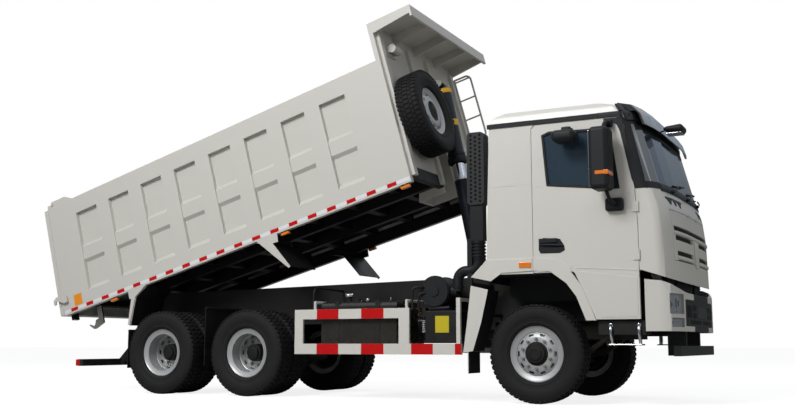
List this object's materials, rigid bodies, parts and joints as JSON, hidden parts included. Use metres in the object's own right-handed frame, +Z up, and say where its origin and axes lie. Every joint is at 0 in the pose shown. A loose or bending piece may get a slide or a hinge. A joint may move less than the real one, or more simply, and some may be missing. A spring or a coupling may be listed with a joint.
{
  "type": "dump truck",
  "caption": "Tandem-axle tipping lorry with tilting cab, opening doors, raised load bed on a telescopic hoist, swinging tailgate and steered front wheels.",
  "frame": {"origin": "centre of the lorry's footprint on the floor", "axes": "+X towards the front of the cab, +Y towards the lorry's left, +Z up"},
  "size_m": [9.2539, 3.28, 4.8575],
  "materials": {
    "cream_paint": "gloss",
    "black_paint": "satin",
    "rim_paint": "satin",
    "tyre_rubber": "matte",
    "black_plastic": "matte",
    "dark_iron": "matte",
    "hoist_chrome": "polished",
    "hoist_navy": "gloss",
    "tinted_glass": "polished",
    "lamp_glass": "polished",
    "seat_cloth": "matte",
    "tank_metal": "gloss"
  },
  "bodies": {
    "chassis": {"chassis_frame": "black_paint", "subframe": "black_paint", "front_axle": "dark_iron", "front_springs": "dark_iron", "rear_axles": "dark_iron", "rear_suspension": "dark_iron", "powertrain": "dark_iron", "propeller_shafts": "dark_iron", "fuel_tank": "tank_metal", "left_boxes": "black_paint", "side_guards": "cream_paint", "air_intake": "black_plastic", "front_mudguards": "cream_paint", "rear_underrun": "black_paint", "rear_mud_flaps": "black_plastic", "front_bumper": "cream_paint", "headlamps": "lamp_glass", "bumper_insert": "black_plastic", "entry_steps": "black_paint"},
    "knuckle_left": {"steering_knuckle_left": "dark_iron"},
    "knuckle_right": {"steering_knuckle_right": "dark_iron"},
    "tie_rod": {"tie_rod": "dark_iron"},
    "front_wheel_left": {"front_tyre_left": "tyre_rubber", "front_rim_left": "rim_paint"},
    "front_wheel_right": {"front_tyre_right": "tyre_rubber", "front_rim_right": "rim_paint"},
    "mid_wheels_left": {"mid_tyres_left": "tyre_rubber", "mid_rims_left": "rim_paint"},
    "mid_wheels_right": {"mid_tyres_right": "tyre_rubber", "mid_rims_right": "rim_paint"},
    "rear_wheels_left": {"rear_tyres_left": "tyre_rubber", "rear_rims_left": "rim_paint"},
    "rear_wheels_right": {"rear_tyres_right": "tyre_rubber", "rear_rims_right": "rim_paint"},
    "cab": {"cab_shell": "cream_paint", "windscreen": "tinted_glass", "sun_visor": "black_plastic", "dashboard": "black_plastic", "seats": "seat_cloth"},
    "door_left": {"door_left": "cream_paint", "door_glass_left": "tinted_glass", "mirrors_left": "black_plastic"},
    "door_right": {"door_right": "cream_paint", "door_glass_right": "tinted_glass", "mirrors_right": "black_plastic"},
    "front_flap": {"front_flap": "cream_paint"},
    "bed": {"bed_floor": "black_paint", "bed_front_wall": "cream_paint", "bed_side_left": "cream_paint", "bed_side_right": "cream_paint", "bed_mudguards": "cream_paint", "spare_tyre": "tyre_rubber", "spare_rim": "rim_paint"},
    "tailgate": {"tailgate": "cream_paint"},
    "hoist_base": {"hoist_base": "hoist_navy"},
    "hoist_stage_1": {"hoist_stage_1": "hoist_chrome"},
    "hoist_stage_2": {"hoist_stage_2": "hoist_chrome"},
    "hoist_stage_3": {"hoist_stage_3": "hoist_chrome"},
    "hoist_cover": {"hoist_cover": "hoist_navy"}
  },
  "joints": [
    {"name": "bed_tilt", "type": "hinge", "parent": "chassis", "child": "bed", "pos_m": [-3.15, 0, 1.176], "axis": [0, -1, 0], "range_deg": [-14.5, 29.44]},
    {"name": "tailgate_swing", "type": "hinge", "parent": "bed", "child": "tailgate", "pos_m": [-4.4813, 0, 2.7155], "axis": [0, 1, 0], "range_deg": [0, 60]},
    {"name": "hoist_lean", "type": "hinge", "parent": "chassis", "child": "hoist_base", "pos_m": [1.895, 0, 1.5], "axis": [0, -1, 0], "range_deg": [-9.6, 19.4]},
    {"name": "hoist_stage_1_slide", "type": "slide", "parent": "hoist_base", "child": "hoist_stage_1", "axis": [-0.2071, 0, 0.9783], "range_m": [-0.309, 0.628]},
    {"name": "hoist_stage_2_slide", "type": "slide", "parent": "hoist_stage_1", "child": "hoist_stage_2", "axis": [-0.2071, 0, 0.9783], "range_m": [-0.309, 0.628]},
    {"name": "hoist_stage_3_slide", "type": "slide", "parent": "hoist_stage_2", "child": "hoist_stage_3", "axis": [-0.2071, 0, 0.9783], "range_m": [-0.309, 0.628]},
    {"name": "hoist_cover_slide", "type": "slide", "parent": "hoist_stage_3", "child": "hoist_cover", "axis": [-0.2071, 0, 0.9783], "range_m": [-0.309, 0.628]},
    {"name": "steer_left", "type": "hinge", "parent": "chassis", "child": "knuckle_left", "pos_m": [3.01, 0.89, 0.556], "axis": [0, 0, 1], "range_deg": [-38, 38]},
    {"name": "steer_right", "type": "hinge", "parent": "chassis", "child": "knuckle_right", "pos_m": [3.01, -0.89, 0.556], "axis": [0, 0, 1], "range_deg": [-38, 38]},
    {"name": "tie_rod_shift", "type": "slide", "parent": "chassis", "child": "tie_rod", "axis": [0, 1, 0], "range_m": [-0.152, 0.152]},
    {"name": "front_wheel_left_spin", "type": "hinge", "parent": "knuckle_left", "child": "front_wheel_left", "pos_m": [3.01, 1.048, 0.556], "axis": [0, 1, 0], "continuous": true},
    {"name": "mid_wheels_left_spin", "type": "hinge", "parent": "chassis", "child": "mid_wheels_left", "pos_m": [-0.89, 1.12, 0.556], "axis": [0, 1, 0], "continuous": true},
    {"name": "rear_wheels_left_spin", "type": "hinge", "parent": "chassis", "child": "rear_wheels_left", "pos_m": [-2.29, 1.12, 0.556], "axis": [0, 1, 0], "continuous": true},
    {"name": "front_wheel_right_spin", "type": "hinge", "parent": "knuckle_right", "child": "front_wheel_right", "pos_m": [3.01, -1.048, 0.556], "axis": [0, 1, 0], "continuous": true},
    {"name": "mid_wheels_right_spin", "type": "hinge", "parent": "chassis", "child": "mid_wheels_right", "pos_m": [-0.89, -1.12, 0.556], "axis": [0, 1, 0], "continuous": true},
    {"name": "rear_wheels_right_spin", "type": "hinge", "parent": "chassis", "child": "rear_wheels_right", "pos_m": [-2.29, -1.12, 0.556], "axis": [0, 1, 0], "continuous": true},
    {"name": "cab_tilt", "type": "hinge", "parent": "chassis", "child": "cab", "pos_m": [4.51, 0, 1.02], "axis": [0, 1, 0], "range_deg": [0, 50]},
    {"name": "door_left_swing", "type": "hinge", "parent": "cab", "child": "door_left", "pos_m": [4.218, 1.262, 2.3], "axis": [0, 0, -1], "range_deg": [0, 65]},
    {"name": "door_right_swing", "type": "hinge", "parent": "cab", "child": "door_right", "pos_m": [4.218, -1.262, 2.3], "axis": [0, 0, 1], "range_deg": [0, 65]},
    {"name": "front_flap_lift", "type": "hinge", "parent": "cab", "child": "front_flap", "pos_m": [4.566, 0, 2.126], "axis": [0, -1, 0], "range_deg": [0, 70]}
  ],
  "couplings": [
    {"joint": "hoist_lean", "follows": "bed_tilt", "ratio": 0.6545},
    {"joint": "hoist_stage_1_slide", "follows": "bed_tilt", "m_per_rad": 1.22},
    {"joint": "hoist_stage_2_slide", "follows": "bed_tilt", "m_per_rad": 1.22},
    {"joint": "hoist_stage_3_slide", "follows": "bed_tilt", "m_per_rad": 1.22},
    {"joint": "hoist_cover_slide", "follows": "bed_tilt", "m_per_rad": 1.22},
    {"joint": "steer_right", "follows": "steer_left", "ratio": 1},
    {"joint": "tie_rod_shift", "follows": "steer_left", "m_per_rad": -0.228}
  ]
}
